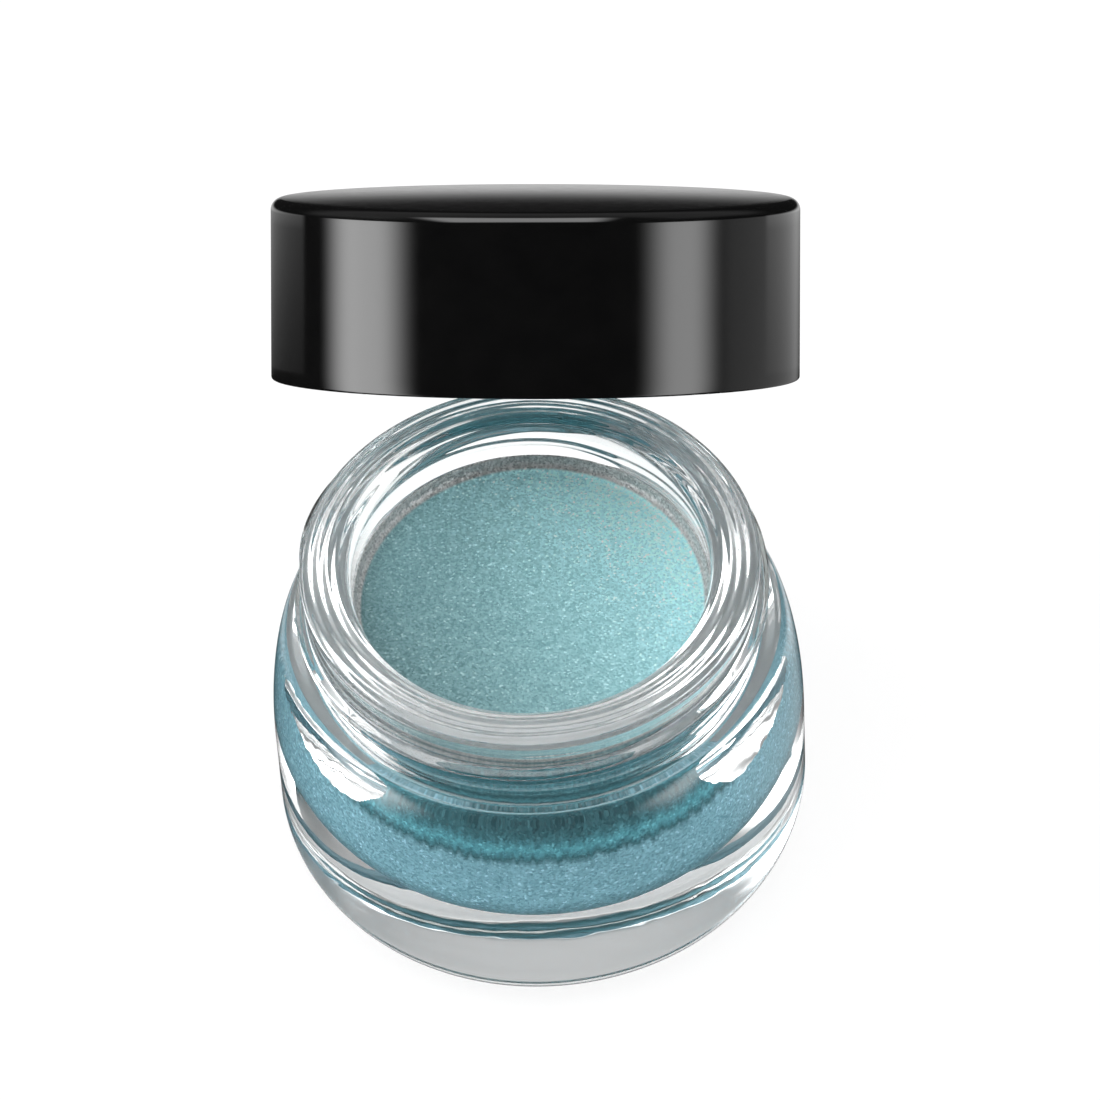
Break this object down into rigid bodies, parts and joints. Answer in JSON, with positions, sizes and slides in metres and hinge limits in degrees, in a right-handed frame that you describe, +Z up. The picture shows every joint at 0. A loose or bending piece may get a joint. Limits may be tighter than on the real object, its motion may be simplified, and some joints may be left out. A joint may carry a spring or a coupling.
{
  "type": "paint jar",
  "caption": "Small thick-walled glass screw-neck pot filled with shimmer cream paint, with a smooth gloss black screw cap that unscrews and tilts back off the neck.",
  "frame": {"origin": "centre of the pot's flat base, on the surface that it stands on", "axes": "+Z up along the pot's axis and its neck; the open cap leans back towards +Y; the picture's camera is on the -Y side"},
  "size_m": [0.0443, 0.0526, 0.0692],
  "materials": {
    "clear_glass": "clear, fire-polished, thick-walled",
    "shimmer_paint": "satin cream with fine teal pearl shimmer",
    "gloss_black": "polished black moulding",
    "matte_black": "satin black moulding",
    "white_foam": "closed-cell foam disc with smooth skin",
    "hot_melt": "translucent hot-melt bead"
  },
  "bodies": {
    "jar": {"glass_jar": "clear_glass", "paint_fill": "shimmer_paint"},
    "liner": {"cap_liner": "white_foam"},
    "glue": {"glue_ring": "hot_melt"},
    "cap": {"cap_shell": "gloss_black", "cap_insert": "matte_black"}
  },
  "joints": [
    {"name": "cap_swing", "type": "hinge", "parent": "jar", "child": "liner", "pos_m": [0.00276, 0.02626, 0.027], "axis": [0.994, -0.1045, -0.0337], "range_deg": [-43, 45.6]},
    {"name": "cap_rise", "type": "slide", "parent": "liner", "child": "glue", "axis": [0.0646, 0.7112, 0.7], "range_m": [-0.0028, 0]},
    {"name": "cap_turn", "type": "hinge", "parent": "glue", "child": "cap", "pos_m": [0.00138, 0.00696, 0.04501], "axis": [0.0646, 0.7112, 0.7], "range_deg": [-335, 0]}
  ],
  "couplings": [
    {"joint": "cap_rise", "follows": "cap_turn", "m_per_rad": 0.00047746}
  ]
}
